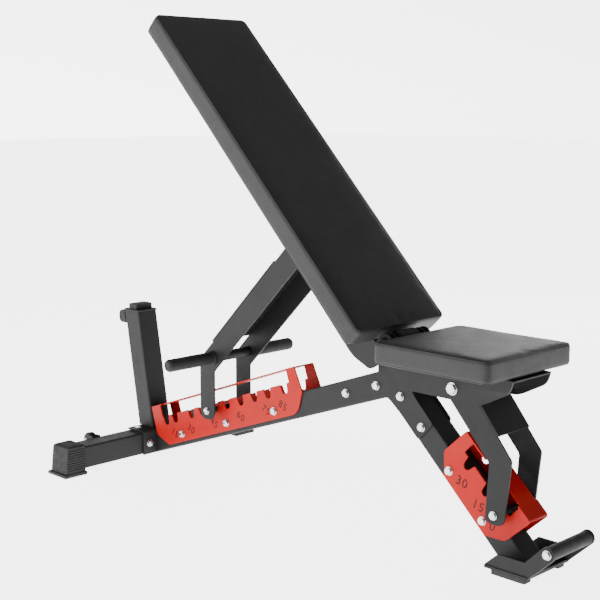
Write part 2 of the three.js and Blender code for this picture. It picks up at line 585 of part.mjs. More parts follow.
// ---------------------------------------------------------------- transport wheels
const EAR = { gap: 1.2, sheet: 3, top: 15 };
const bracketBack = crossLeft - FIT;
const earInner = WHEEL.half + EAR.gap;
const earOuter = earInner + EAR.sheet;
const earShape = outline([
  [bracketBack, CROSS_Z - HALF + 8, 3], [bracketBack, CROSS_Z + HALF + 3, 4],
  [WHEEL.x + 2, WHEEL.z + EAR.top, 6], [WHEEL.x - 13, WHEEL.z + 8, 9], [WHEEL.x - 13, WHEEL.z - 10, 9],
]);
const wheelBody = [
  [0, -WHEEL.half], [8, -WHEEL.half], [8, -WHEEL.half + 1.5], [15, -WHEEL.half + 1.5],
  [16, -WHEEL.half], [WHEEL.radius - 2, -WHEEL.half], [WHEEL.radius, -WHEEL.half + 2],
  [WHEEL.radius, WHEEL.half - 2], [WHEEL.radius - 2, WHEEL.half], [16, WHEEL.half],
  [15, WHEEL.half - 1.5], [8, WHEEL.half - 1.5], [8, WHEEL.half], [0, WHEEL.half],
];
SIDES.forEach(([side, sign]) => {
  const y = sign * WHEEL.y;
  const bracket = slab(earShape, y - earOuter, y + earOuter)
    .subtract(box(WHEEL.x - 60, bracketBack - EAR.sheet, y - earInner, y + earInner, 0, 120))
    .subtract(rod(4 + FIT, WHEEL.x, WHEEL.z, y - 30, y + 30))
    .subtract(lengthwise(4 + FIT, y, CROSS_Z - 12, crossLeft - 10, crossLeft + 10, 16));
  add(`wheel_bracket_${side}`, bracket, FRAME_PAINT());
  const wheel = turned(wheelBody.map(([r, along]) => [r, along + y]), WHEEL.x, WHEEL.z, 28)
    .subtract(rod(4 + FIT, WHEEL.x, WHEEL.z, y - 30, y + 30));
  add(`transport_wheel_${side}`, wheel, NYLON());
  const axle = join(
    rod(4, WHEEL.x, WHEEL.z, y - earOuter - 3, y + earOuter + 3),
    rod(7.5, WHEEL.x, WHEEL.z, y - earOuter - FIT - 5, y - earOuter - FIT, 6),
    rod(7.5, WHEEL.x, WHEEL.z, y + earOuter + FIT, y + earOuter + FIT + 5, 6),
  );
  add(`wheel_axle_${side}`, axle, BRIGHT_STEEL());
});

// ---------------------------------------------------------------- front foot
const noseStart = 132 * DEG;
const noseEnd = -48 * DEG;
const NOSE = 16.5;
const flangeShape = new THREE.Shape();
flangeShape.moveTo(BASE.rear, BASE.under);
flangeShape.lineTo(BASE.front - 2, BASE.under);
flangeShape.lineTo(HANDLE.x + NOSE * Math.cos(noseEnd), HANDLE.z + NOSE * Math.sin(noseEnd));
flangeShape.absarc(HANDLE.x, HANDLE.z, NOSE, noseEnd, noseStart, false);
flangeShape.lineTo(352, 48);
flangeShape.lineTo(284, 48);
flangeShape.lineTo(BASE.rear, BASE.top + 2);
flangeShape.closePath();
const FLANGE_OUT = BASE.half - 2.5;
const flangeIn = FLANGE_OUT - PLATE;
const footBracket = slab(flangeShape, -FLANGE_OUT, FLANGE_OUT, 10)
  .subtract(box(BASE.rear - 50, BASE.front + 90, -flangeIn, flangeIn, BASE.top, 130))
  .subtract(box(BASE.front, BASE.front + 90, -flangeIn, flangeIn, 0, 130))
  .subtract(rod(BOLT.shank + FIT, HANDLE.x, HANDLE.z, -130, 130));
const basePlate = rectangle(BASE.rear - 2, BASE.front, -BASE.half, BASE.half, 3);
add('front_foot_bracket', footBracket.add(layer(basePlate, BASE.under, BASE.top, 3)), FRAME_PAINT());
SIDES.forEach(([side, sign]) => {
  const pad = rectangle(266, 352, ...[sign * 48, sign * 75].sort((a, b) => a - b), 6);
  add(`front_foot_pad_${side}`, layer(pad, 0, BASE.under - FIT, 3), RUBBER());
});
const handle = rod(HANDLE.radius, HANDLE.x, HANDLE.z, -flangeIn + FIT, flangeIn - FIT, 40)
  .subtract(rod(BOLT.shank + FIT, HANDLE.x, HANDLE.z, -130, 130));
add('carry_handle', handle, RUBBER());
add('carry_handle_bolt', throughBolt(HANDLE.x, HANDLE.z, FLANGE_OUT), BRIGHT_STEEL());

// ---------------------------------------------------------------- main axle
add('main_axle', throughBolt(AXLE.x, AXLE.z, SEAT_OUTER_Y, MAIN_AXLE), FRAME_PAINT());
const sleeve = rod(SLEEVE_RADIUS, AXLE.x, AXLE.z, -SHEET_IN + FIT, SHEET_IN - FIT, 32)
  .subtract(rod(MAIN_AXLE.shank + FIT, AXLE.x, AXLE.z, -SHEET_IN, SHEET_IN));
add('back_pivot_sleeve', sleeve, FRAME_PAINT());

// ---------------------------------------------------------------- pads
// A cushion with rounded corners and softened edges, hollowed underneath for its board.
function cushion(x0, x1, half, z0, z1, edge = 7) {
  const plan = rectangle(x0, x1, -half, half, PAD_CORNER);
  const geometry = new THREE.ExtrudeGeometry(plan, {
    depth: z1 - z0 - 2 * edge,
    bevelThickness: edge,
    bevelSize: edge,
    bevelOffset: -edge,
    bevelSegments: 3,
    curveSegments: 6,
  });
  geometry.translate(0, 0, z0 + edge);
  const recess = rectangle(x0 + BOARD_INSET - FIT, x1 - BOARD_INSET + FIT,
    -half + BOARD_INSET - FIT, half - BOARD_INSET + FIT, 8);
  return toSolid(geometry).subtract(layer(recess, z0 - 5, z0 + BOARD + FIT));
}
const boardOf = (x0, x1, half, z0) =>
  layer(rectangle(x0 + BOARD_INSET, x1 - BOARD_INSET, -half + BOARD_INSET, half - BOARD_INSET, 8), z0, z0 + BOARD);

add('back_pad', cushion(BACK_END - BACK_LENGTH, BACK_END, PAD_WIDTH / 2, BACK_UNDER, BACK_TOP), VINYL(), backFrame);
add('back_board', boardOf(BACK_END - BACK_LENGTH, BACK_END, PAD_WIDTH / 2, BACK_UNDER), PLYWOOD(), backFrame);

const SEAT_UNDER = SEAT_TOP - SEAT_THICKNESS;
add('seat_pad', cushion(SEAT_REAR, SEAT_FRONT, PAD_WIDTH / 2, SEAT_UNDER, SEAT_TOP), VINYL());
add('seat_board', boardOf(SEAT_REAR, SEAT_FRONT, PAD_WIDTH / 2, SEAT_UNDER), PLYWOOD());

// ---------------------------------------------------------------- backrest channel and its fork
const CHANNEL_END = -380;
const channelTop = BACK_UNDER - FIT;
const channelShape = outline([
  [CHANNEL_END, channelTop], [CHANNEL_END, channelTop - 72, 26], [-94, channelTop - 74, 6],
  [-76, HINGE_DEPTH - 2.5, 6], [-44, HINGE_DEPTH - 1.5, 14], [8, -92, 9], [15, -72, 9],
  [LOBE, 0], [-LOBE, 0], [-27, channelTop],
]);
const channel = join(slab(channelShape, -HINGE_Y, HINGE_Y), rod(LOBE, 0, 0, -HINGE_Y, HINGE_Y, 32))
  .subtract(box(CHANNEL_END - 50, 90, -HINGE_Y + HINGE_SHEET, HINGE_Y - HINGE_SHEET, -200,
    channelTop - HINGE_SHEET))
  .subtract(box(-27, 90, -HINGE_Y + HINGE_SHEET, HINGE_Y - HINGE_SHEET, -200, 90))
  .subtract(rod(MAIN_AXLE.shank + FIT, 0, 0, -130, 130))
  .subtract(rod(PROP_BOLT.shank + FIT, PROP_PIVOT.x, PROP_PIVOT.z, -130, 130));
add('back_channel', channel, FRAME_PAINT(), backFrame);

// The fork is drawn about its own pivot, the way it hangs with the pin in the notch marked 45.
const propPivot = outOfFrame(PROP_PIVOT, AXLE, BACK_REST_ANGLE);
const propPin = outOfFrame({ x: REAR_REST_NOTCH, z: PIN_LINE }, BEAM_ORIGIN, -BEAM_SLOPE);
const propFrame = frameAt(propPivot, 0);
const pinFromPivot = { x: propPin.x - propPivot.x, z: propPin.z - propPivot.z };
const PROP_LEG_REAR = pinFromPivot.x - 25;
const PROP_LEG_END = pinFromPivot.z - 22;
const armCos = Math.cos(PROP_ARM_ANGLE * DEG);
const armSin = Math.sin(PROP_ARM_ANGLE * DEG);
// A point at distance t down the sloping arm and n towards its upper, rear edge.
const armPoint = (t, n, ...rest) => [-t * armCos - n * armSin, -t * armSin + n * armCos, ...rest];
const alongArm = (x, n) => (-x - n * armSin) / armCos;
const armShape = outline([
  armPoint(-29, PROP_ARM_UPPER, 26), armPoint(alongArm(PROP_LEG_REAR, PROP_ARM_UPPER), PROP_ARM_UPPER, 5),
  [PROP_LEG_REAR, PROP_LEG_END, 24], [PROP_LEG_REAR + PROP_LEG_WIDTH, PROP_LEG_END, 28],
  armPoint(alongArm(PROP_LEG_REAR + PROP_LEG_WIDTH, -PROP_ARM_LOWER), -PROP_ARM_LOWER, 5),
  armPoint(-29, -PROP_ARM_LOWER, 26),
]);
const PROP_BAR = { x: -301.1, z: -301.2, radius: 12.7, bore: 10.2, end: 207 };
const GRIP = { radius: 16, start: PROP_OUTER_Y + 1.5, end: 214 };
SIDES.forEach(([side, sign]) => {
  const [low, high] = sign > 0 ? [PROP_INNER_Y, PROP_OUTER_Y] : [-PROP_OUTER_Y, -PROP_INNER_Y];
  const arm = slab(armShape, low, high)
    .subtract(rod(PROP_BOLT.shank + FIT, 0, 0, -130, 130))
    .subtract(rod(PROP_BAR.radius + FIT, PROP_BAR.x, PROP_BAR.z, -130, 130))
    .subtract(rod(PIN_BOLT.shank + FIT, pinFromPivot.x, pinFromPivot.z, -130, 130));
  add(`back_support_arm_${side}`, arm, FRAME_PAINT(), propFrame);
});
const webShape = outline([
  armPoint(74, PROP_ARM_UPPER + FIT), armPoint(396, PROP_ARM_UPPER + FIT),
  armPoint(396, PROP_ARM_UPPER + FIT + PLATE), armPoint(74, PROP_ARM_UPPER + FIT + PLATE),
]);
add('back_support_web', slab(webShape, -PROP_OUTER_Y, PROP_OUTER_Y), FRAME_PAINT(), propFrame);
add('back_support_bar', rod(PROP_BAR.radius, PROP_BAR.x, PROP_BAR.z, -PROP_BAR.end, PROP_BAR.end, 32)
  .subtract(rod(PROP_BAR.bore, PROP_BAR.x, PROP_BAR.z, -PROP_BAR.end - 5, PROP_BAR.end + 5, 32)),
FRAME_PAINT(), propFrame);
const gripProfile = [
  [0, GRIP.start], [GRIP.radius + 2, GRIP.start], [GRIP.radius + 2, GRIP.start + 4],
  [GRIP.radius, GRIP.start + 6], [GRIP.radius, GRIP.end - 7], [GRIP.radius - 2, GRIP.end - 2.5],
  [GRIP.radius - 6, GRIP.end], [0, GRIP.end],
];
SIDES.forEach(([side, sign]) => {
  const profile = gripProfile.map(([r, y]) => [r, sign * y]);
  const bore = [sign * (GRIP.start - 5), sign * (PROP_BAR.end + FIT)].sort((a, b) => a - b);
  const grip = turned(sign > 0 ? profile : profile.reverse(), PROP_BAR.x, PROP_BAR.z, 24)
    .subtract(rod(PROP_BAR.radius + FIT, PROP_BAR.x, PROP_BAR.z, ...bore, 32));
  add(`back_support_grip_${side}`, grip, RUBBER(), propFrame);
});
add('back_support_pivot_bolt', join(
  throughBolt(0, 0, PROP_OUTER_Y, PROP_BOLT),
  rod(PROP_SPACER_RADIUS, 0, 0, -HINGE_Y + HINGE_SHEET + FIT, HINGE_Y - HINGE_SHEET - FIT, 32),
), BRIGHT_STEEL(), propFrame);

// Each half of the pin is a shouldered bolt: round shoulder inside the arm, hex head outside it.
function pinHalf(x, z, sign, inner, outer) {
  const part = (radius, from, to, sides) =>
    rod(radius, x, z, ...[sign * from, sign * to].sort((a, b) => a - b), sides);
  return join(
    part(PIN_RADIUS, SHEET_OUT + 0.5, inner - FIT),
    part(PIN_BOLT.shank, inner - 2, outer + 2),
    part(PIN_BOLT.head, outer + FIT, outer + FIT + PIN_BOLT.thickness, 6),
  );
}
SIDES.forEach(([side, sign]) => {
  const pin = pinHalf(pinFromPivot.x, pinFromPivot.z, sign, PROP_INNER_Y, PROP_OUTER_Y);
  add(`back_support_pin_${side}`, pin, BRIGHT_STEEL(), propFrame);
});

// ---------------------------------------------------------------- seat channel and its fork
const seatChannelTop = SEAT_UNDER - FIT;
const seatEarTop = AXLE.z;
const seatShape = outline([
  [AXLE.x - LOBE, seatEarTop], [AXLE.x - 14, seatEarTop - 30, 10], [16, 353, 20], [228, 353, 16],
  [298, 389, 14], [307, seatChannelTop, 4], [-1, seatChannelTop], [AXLE.x + LOBE, seatEarTop],
]);
const seatChannel = join(slab(seatShape, -SEAT_OUTER_Y, SEAT_OUTER_Y),
  rod(LOBE, AXLE.x, AXLE.z, -SEAT_OUTER_Y, SEAT_OUTER_Y, 32))
  .subtract(box(-90, 400, -SEAT_INNER_Y, SEAT_INNER_Y, 250, seatChannelTop - PLATE))
  .subtract(box(-90, 12, -SEAT_INNER_Y, SEAT_INNER_Y, 250, 550))
  .subtract(rod(MAIN_AXLE.shank + FIT, AXLE.x, AXLE.z, -130, 130))
  .subtract(rod(SEAT_BOLT.shank + FIT, SEAT_PIVOT.x, SEAT_PIVOT.z, -130, 130));
add('seat_channel', seatChannel, FRAME_PAINT());

const seatPin = outOfFrame({ x: FRONT_REST_NOTCH, z: PIN_LINE }, LEG_ORIGIN, LEG_SLOPE);
const seatPropFrame = frameAt(SEAT_PIVOT, 0);
const seatPinOffset = { x: seatPin.x - SEAT_PIVOT.x, z: seatPin.z - SEAT_PIVOT.z };
const seatArmShape = outline([
  [-27, 29, 24], [-27, -14, 10], [91, -147, 4], [seatPinOffset.x - 22, seatPinOffset.z - 18, 18],
  [seatPinOffset.x + 27, seatPinOffset.z - 22, 24], [147, -132, 4], [36, 5, 10], [26, 29, 14],
]);
SIDES.forEach(([side, sign]) => {
  const [low, high] = sign > 0
    ? [SEAT_PROP_INNER_Y, SEAT_PROP_OUTER_Y]
    : [-SEAT_PROP_OUTER_Y, -SEAT_PROP_INNER_Y];
  const arm = slab(seatArmShape, low, high)
    .subtract(rod(SEAT_BOLT.shank + FIT, 0, 0, -130, 130))
    .subtract(rod(PIN_BOLT.shank + FIT, seatPinOffset.x, seatPinOffset.z, -130, 130));
  add(`seat_support_arm_${side}`, arm, FRAME_PAINT(), seatPropFrame);
  const pin = pinHalf(seatPinOffset.x, seatPinOffset.z, sign, SEAT_PROP_INNER_Y, SEAT_PROP_OUTER_Y);
  add(`seat_support_pin_${side}`, pin, BRIGHT_STEEL(), seatPropFrame);
});
// The web lies on the front edges of the arms.
const edge = new THREE.Vector2(147 - 36, -132 - 5).normalize();
const onEdge = (t, n) => [36 + t * edge.x - n * edge.y, 5 + t * edge.y + n * edge.x];
const seatWebShape = outline([onEdge(34, FIT), onEdge(118, FIT), onEdge(118, FIT + PLATE), onEdge(34, FIT + PLATE)]);
add('seat_support_web', slab(seatWebShape, -SEAT_PROP_OUTER_Y, SEAT_PROP_OUTER_Y), FRAME_PAINT(), seatPropFrame);
add('seat_support_pivot_bolt', throughBolt(0, 0, SEAT_OUTER_Y, SEAT_BOLT), BRIGHT_STEEL(), seatPropFrame);

export default bench;
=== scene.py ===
"""Looks of the adjustable weight bench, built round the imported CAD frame. Metres, +Z up, +X forwards."""

import json
import math

import bmesh
import bpy
from mathutils import Matrix, Vector
from mathutils.bvhtree import BVHTree


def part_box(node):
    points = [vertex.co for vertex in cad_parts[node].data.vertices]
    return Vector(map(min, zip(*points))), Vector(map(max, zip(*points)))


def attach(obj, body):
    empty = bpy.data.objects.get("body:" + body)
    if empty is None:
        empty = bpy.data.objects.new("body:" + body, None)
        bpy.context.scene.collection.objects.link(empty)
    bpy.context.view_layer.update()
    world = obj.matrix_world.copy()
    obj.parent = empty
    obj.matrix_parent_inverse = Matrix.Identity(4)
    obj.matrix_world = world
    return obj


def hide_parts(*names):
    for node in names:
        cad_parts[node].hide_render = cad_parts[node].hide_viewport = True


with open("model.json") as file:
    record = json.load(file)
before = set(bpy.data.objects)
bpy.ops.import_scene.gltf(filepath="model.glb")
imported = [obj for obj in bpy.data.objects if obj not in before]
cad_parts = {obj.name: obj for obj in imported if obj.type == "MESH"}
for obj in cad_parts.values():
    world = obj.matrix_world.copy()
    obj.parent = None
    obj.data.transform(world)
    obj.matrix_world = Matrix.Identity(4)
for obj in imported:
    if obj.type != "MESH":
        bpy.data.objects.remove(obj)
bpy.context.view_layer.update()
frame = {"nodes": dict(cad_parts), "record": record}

MM = 0.001
NODES = frame["nodes"]
RECORD = frame["record"]
JOINTS = {joint["name"]: joint for joint in RECORD["behaviour"]["joints"]}
BODY_OF = {node: body for body, nodes in RECORD["behaviour"]["bodies"].items() for node in nodes}
AXLE = Vector(JOINTS["back_raise"]["pos_m"])
BACK_ANGLE = math.radians(45.84)  # the backrest's rest angle above the level
BACK_TURN = Matrix.Translation(AXLE) @ Matrix.Rotation(BACK_ANGLE, 4, "Y")
AXIS_SHIFT = 330  # mm: X of the point that the beam and the leg are measured from
BEAM_SLOPE = math.radians(19.6)
LEG_SLOPE = math.radians(43.7)
BEAM_ORIGIN = Vector((-879.5 + AXIS_SHIFT, 0, 23.8)) * MM
LEG_ORIGIN = Vector((-36.1 + AXIS_SHIFT, 0, 296.9)) * MM
BACK_CHEEK = 4 * MM  # thickness of the backrest channel's cheek
SEAT_CHEEK = 4.5 * MM  # thickness of the seat channel's cheek
WASHER_GAP = 0.4 * MM
LETTER_PLANE = 33.88 * MM  # from the middle plane to the middle of the lettering on a ladder's cheek
PAD_CORNER = 16 * MM
PAD_VOXEL = 5 * MM
PAD_EDGE = 5.5 * MM  # width of the slope round the top
PAD_SHRINK = 2.2 * MM  # how far inside its box the cover starts before it swells
SWELL_FRAMES = 20
SWELL_PRESSURE = 4.0
SWELL_CAP = 2.4 * MM
TOP_BAND = 6 * MM
CROWN = 1.6 * MM  # how far the rim of the top lies below its middle, at most
SEAM_STEP = 30 * MM
SEAM_SINK = 0.05  # of the bead's radius
BEAM_TURN = Matrix.Translation(BEAM_ORIGIN) @ Matrix.Rotation(-BEAM_SLOPE, 4, "Y")
LEG_TURN = Matrix.Translation(LEG_ORIGIN) @ Matrix.Rotation(LEG_SLOPE, 4, "Y")


# ---------------------------------------------------------------- camera and light
def make_camera():
    data = bpy.data.cameras.new("camera")
    data.sensor_width = 36
    data.lens = 72.89
    data.clip_end = 100
    camera = bpy.data.objects.new("camera", data)
    camera.location = (2.03515, -2.06221, 0.96537)
    camera.rotation_euler = (math.radians(90 - 9.03), 0, math.radians(45.23))
    bpy.context.scene.collection.objects.link(camera)
    bpy.context.scene.camera = camera


def area_light(name, spot, target, size, power):
    data = bpy.data.lights.new(name, "AREA")
    data.shape = "RECTANGLE"
    data.size, data.size_y = size
    data.energy = power
    light = bpy.data.objects.new(name, data)
    light.location = spot
    light.rotation_euler = (Vector(target) - Vector(spot)).to_track_quat("-Z", "Y").to_euler()
    light.visible_camera = False
    bpy.context.scene.collection.objects.link(light)


def make_studio():
    """A pale surround, brighter low down and towards -X, three soft lights and the floor."""
    world = bpy.data.worlds.new("studio")
    world.use_nodes = True
    tree = world.node_tree
    direction = tree.nodes.new("ShaderNodeTexCoord").outputs["Generated"]
    height = tree.nodes.new("ShaderNodeSeparateXYZ")
    tree.links.new(direction, height.inputs[0])
    fade = tree.nodes.new("ShaderNodeValToRGB")
    stops = ((0.0, 1.0), (0.09, 0.9), (0.16, 0.3), (0.4, 0.12), (0.85, 0.05))
    elements = fade.color_ramp.elements
    while len(elements) < len(stops):
        elements.new(0.5)
    for element, (position, value) in zip(elements, stops):
        element.position = position
        element.color = (value, value, value, 1)
    tree.links.new(height.outputs["Z"], fade.inputs["Fac"])
    background = tree.nodes["Background"]
    tree.links.new(fade.outputs["Color"], background.inputs["Color"])
    sideways = tree.nodes.new("ShaderNodeMath")
    sideways.operation = "MULTIPLY_ADD"
    tree.links.new(height.outputs["X"], sideways.inputs[0])
    sideways.inputs[1].default_value = -2.6
    sideways.inputs[2].default_value = 3.8
    tree.links.new(sideways.outputs[0], background.inputs["Strength"])
    bpy.context.scene.world = world
    area_light("key", (-1.6, -3.4, 1.7), (-0.1, 0, 0.45), (2.4, 2.0), 90)
    area_light("sheen", (-1.0, 3.3, 1.35), (0.5, 0, 0.47), (1.5, 0.9), 24)
    area_light("top", (-0.2, -0.3, 3.6), (-0.1, 0, 0), (3.2, 3.2), 20)

    mesh = bpy.data.meshes.new("floor")
    reach = 30
    mesh.from_pydata([(-reach, -reach, 0), (reach, -reach, 0), (reach, reach, 0), (-reach, reach, 0)], [],
                     [(0, 1, 2, 3)])
    floor = bpy.data.objects.new("floor", mesh)
    bpy.context.scene.collection.objects.link(floor)
    floor.data.materials.append(material_floor())


# ---------------------------------------------------------------- materials
class Nodes:
    """A node material under construction: call it with a node type and the values of its sockets."""

    def __init__(self, name):
        self.material = bpy.data.materials.new(name)
        self.material.use_nodes = True
        self.tree = self.material.node_tree
        self.shader = self.tree.nodes["Principled BSDF"]

    def __call__(self, kind, inputs=None, **settings):
        node = self.tree.nodes.new(kind)
        for key, value in settings.items():
            setattr(node, key, value)
        for key, value in (inputs or {}).items():
            self.set(node, key, value)
        return node

    def set(self, node, key, value):
        socket = node.inputs[key]
        if isinstance(value, bpy.types.NodeSocket):
            self.tree.links.new(value, socket)
        else:
            socket.default_value = value

    def noise(self, where, scale, detail=4, roughness=0.55):
        node = self("ShaderNodeTexNoise",
                    {"Vector": where, "Scale": scale, "Detail": detail, "Roughness": roughness})
        return node.outputs["Fac"]

    def ramp(self, fac, *stops):
        node = self("ShaderNodeValToRGB", {"Fac": fac})
        elements = node.color_ramp.elements
        while len(elements) < len(stops):
            elements.new(0.5)
        for element, (position, colour) in zip(elements, stops):
            element.position = position
            element.color = colour if len(colour) == 4 else (*colour, 1)
        return node.outputs["Color"]

    def mix(self, fac, first, second, mode="MIX"):
        node = self("ShaderNodeMix", data_type="RGBA", blend_type=mode)
        self.set(node, 0, fac)
        self.set(node, 6, first)
        self.set(node, 7, second)
        return node.outputs[2]

    def math(self, operation, first, second=0.5):
        node = self("ShaderNodeMath", operation=operation)
        self.set(node, 0, first)
        self.set(node, 1, second)
        return node.outputs[0]

    def bump(self, height, strength, distance, normal=None):
        inputs = {"Height": height, "Strength": strength, "Distance": distance}
        if normal is not None:
            inputs["Normal"] = normal
        return self("ShaderNodeBump", inputs).outputs["Normal"]

    def where(self):
        return self("ShaderNodeTexCoord").outputs["Object"]

    def edges(self, low=0.53, high=0.62):
        point = self("ShaderNodeNewGeometry").outputs["Pointiness"]
        return self.ramp(point, (low, (0, 0, 0)), (high, (1, 1, 1)))

    def finish(self, **sockets):
        for key, value in sockets.items():
            self.set(self.shader, key.replace("_", " "), value)
        return self.material


def grey(value, tint=(1, 1, 1)):
    return (value * tint[0], value * tint[1], value * tint[2], 1)


def material_floor():
    """A pale floor that glows, and less so in front of the bench, to keep its front faces dark."""
    n = Nodes("studio_floor")
    where = n.where()
    colour = n.ramp(n.noise(where, 1.5), (0.3, (0.86, 0.86, 0.86)), (0.7, (0.9, 0.9, 0.9)))
    across = n("ShaderNodeSeparateXYZ", {"Vector": where}).outputs["X"]
    glow = n("ShaderNodeMapRange",
             {"Value": across, "From Min": 0.75, "From Max": 2.4, "To Min": 4.4, "To Max": 1.9},
             interpolation_type="SMOOTHSTEP").outputs["Result"]
    return n.finish(Base_Color=colour, Roughness=0.65, Emission_Color=(1, 1, 1, 1),
                    Emission_Strength=glow)


def powder_coat(name, dark, light, worn, gloss=0.42, grain=1400, shine=0.1):
    """Fine orange-peel powder coat: cloudy colour, rubbed edges, and a sparkle of texture."""
    n = Nodes(name)
    where = n.where()
    cloud = n.noise(where, 9, 5)
    colour = n.ramp(cloud, (0.3, dark), (0.72, light))
    speck = n.noise(where, grain, 2, 0.7)
    colour = n.mix(n.math("MULTIPLY", speck, 0.22), colour, worn)
    rubbed = n.math("MULTIPLY", n.edges(0.56, 0.7), n.noise(where, 60, 3))
    colour = n.mix(n.math("MULTIPLY", rubbed, 0.5), colour, worn)
    rough = n.ramp(n.noise(where, 45, 4), (0.25, grey(gloss - 0.05)), (0.8, grey(gloss + 0.12)))
    peel = n.bump(n.noise(where, grain * 0.6, 3, 0.6), 0.22, 0.0004)
    return n.finish(Base_Color=colour, Roughness=rough, Normal=peel, Specular_IOR_Level=shine)


def bright_steel():
    n = Nodes("bright_steel")
    where = n.where()
    colour = n.ramp(n.noise(where, 130, 4), (0.3, (0.4, 0.41, 0.42)), (0.75, (0.66, 0.67, 0.68)))
    stretched = n("ShaderNodeMapping", {"Vector": where, "Scale": (900, 60, 900)}).outputs["Vector"]
    lines = n.noise(stretched, 1, 3)
    rough = n.ramp(lines, (0.25, grey(0.14)), (0.8, grey(0.27)))
    return n.finish(Base_Color=colour, Metallic=0.95, Roughness=rough, Normal=n.bump(lines, 0.12, 0.0002))


def rubber(name, value, tint=(1, 1, 1.02)):
    n = Nodes(name)
    where = n.where()
    cloud = n.noise(where, 22, 5)
    colour = n.ramp(cloud, (0.25, grey(value * 0.8, tint)), (0.8, grey(value * 1.35, tint)))
    dust = n.math("MULTIPLY", n.edges(0.52, 0.6), 0.35)
    colour = n.mix(dust, colour, grey(value * 3.2))
    pores = n.noise(where, 1900, 2, 0.7)
    rough = n.ramp(n.noise(where, 70, 3), (0.3, grey(0.6)), (0.7, grey(0.78)))
    return n.finish(Base_Color=colour, Roughness=rough, Normal=n.bump(pores, 0.25, 0.0003),
                    Specular_IOR_Level=0.16)


def vinyl():
    """Black bench vinyl: embossed leather grain with painted shade in its valleys, slightly glossier on the
    pebbles.
    """
    n = Nodes("pad_vinyl")
    where = n.where()
    wobble = n("ShaderNodeTexNoise", {"Vector": where, "Scale": 60.0}).outputs["Color"]
    warped = n.mix(0.08, where, wobble, "ADD")
    cells = n("ShaderNodeTexVoronoi", {"Vector": where, "Scale": 390.0, "Randomness": 1.0},
              feature="DISTANCE_TO_EDGE").outputs["Distance"]
    pebble = n.ramp(cells, (0.0, (0, 0, 0)), (0.1, (0.7, 0.7, 0.7)), (0.34, (1, 1, 1)))
    broad = n.noise(where, 7, 4)
    colour = n.ramp(broad, (0.3, grey(0.019, (1, 1, 1.02))), (0.75, grey(0.025, (1, 1, 1.02))))
    # painted shade: the valleys between the grain's pebbles are darkened to half their colour
    colour = n.mix(pebble, n.mix(0.5, colour, (0, 0, 0, 1)), colour)
    rough = n.mix(pebble, grey(0.62), n.ramp(n.noise(where, 35, 4), (0.3, grey(0.4)), (0.8, grey(0.52))))
    fine = n.bump(pebble, 0.34, 0.0006)
    soft = n.bump(n.noise(where, 240, 4), 0.1, 0.0006, fine)
    wrinkles = n.bump(n.noise(where, 18, 3), 0.12, 0.003, soft)
    return n.finish(Base_Color=colour, Roughness=rough, Normal=wrinkles, Specular_IOR_Level=0.2)


def plastic(name, value, tint=(1, 1, 1)):
    n = Nodes(name)
    where = n.where()
    cloud = n.noise(where, 30, 4)
    colour = n.ramp(cloud, (0.3, grey(value * 0.85, tint)), (0.75, grey(value * 1.25, tint)))
    rough = n.ramp(n.noise(where, 80, 3), (0.3, grey(0.42)), (0.75, grey(0.55)))
    pores = n.bump(n.noise(where, 1500, 2), 0.12, 0.0002)
    return n.finish(Base_Color=colour, Roughness=rough, Normal=pores, Specular_IOR_Level=0.12)


def felt():
    n = Nodes("board_felt")
    where = n.where()
    fibres = n.noise(where, 1200, 5, 0.75)
    colour = n.ramp(fibres, (0.25, grey(0.012)), (0.8, grey(0.045)))
    return n.finish(Base_Color=colour, Roughness=0.95, Normal=n.bump(fibres, 0.6, 0.0006))


MATERIALS = {
    "frame_paint": powder_coat("frame_paint", grey(0.008, (1, 1.02, 1.04)), grey(0.0115, (1, 1.02, 1.04)),
                               grey(0.04), 0.44),
    "ladder_red": powder_coat("ladder_red", (0.28, 0.003, 0.0015, 1), (0.33, 0.005, 0.003, 1),
                              (0.38, 0.013, 0.008, 1), 0.4),
    "bright_steel": bright_steel(),
    "rubber": rubber("rubber", 0.014),
    "wheel_plastic": plastic("wheel_plastic", 0.012),
    "pad_vinyl": vinyl(),
    "pad_board": felt(),
}
INK = plastic("numeral_ink", 0.006, (1, 0.3, 0.26))


# ---------------------------------------------------------------- pieces
def place(name, mesh, material, body, matrix=None, smooth=35):
    """Adds a mesh as a piece that rides on a body."""
    if matrix is not None:
        mesh.transform(matrix)
    mesh.update()
    piece = bpy.data.objects.new(name, mesh)
    bpy.context.scene.collection.objects.link(piece)
    mesh.materials.append(MATERIALS[material] if isinstance(material, str) else material)
    if smooth:
        mesh.shade_smooth()
        mesh.set_sharp_from_angle(angle=math.radians(smooth))
    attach(piece, body)
    return piece


def mesh_of(bm, name):
    bmesh.ops.recalc_face_normals(bm, faces=bm.faces)
    mesh = bpy.data.meshes.new(name)
    bm.to_mesh(mesh)
    bm.free()
    return mesh


def lathe(bm, profile, sides):
    """Turns (radius, y) points about the Y axis into bm. A radius of 0 closes the end."""
    rings = []
    for radius, along in profile:
        if radius == 0:
            rings.append([bm.verts.new((0, along, 0))])
            continue
        ring = []
        for i in range(sides):
            angle = 2 * math.pi * i / sides
            ring.append(bm.verts.new((radius * math.cos(angle), along, radius * math.sin(angle))))
        rings.append(ring)
    for first, second in zip(rings, rings[1:]):
        for i in range(sides):
            j = (i + 1) % sides
            corners = [first[i % len(first)], first[j % len(first)],
                       second[j % len(second)], second[i % len(second)]]
            unique = list(dict.fromkeys(corners))
            if len(unique) > 2:
                bm.faces.new(unique)


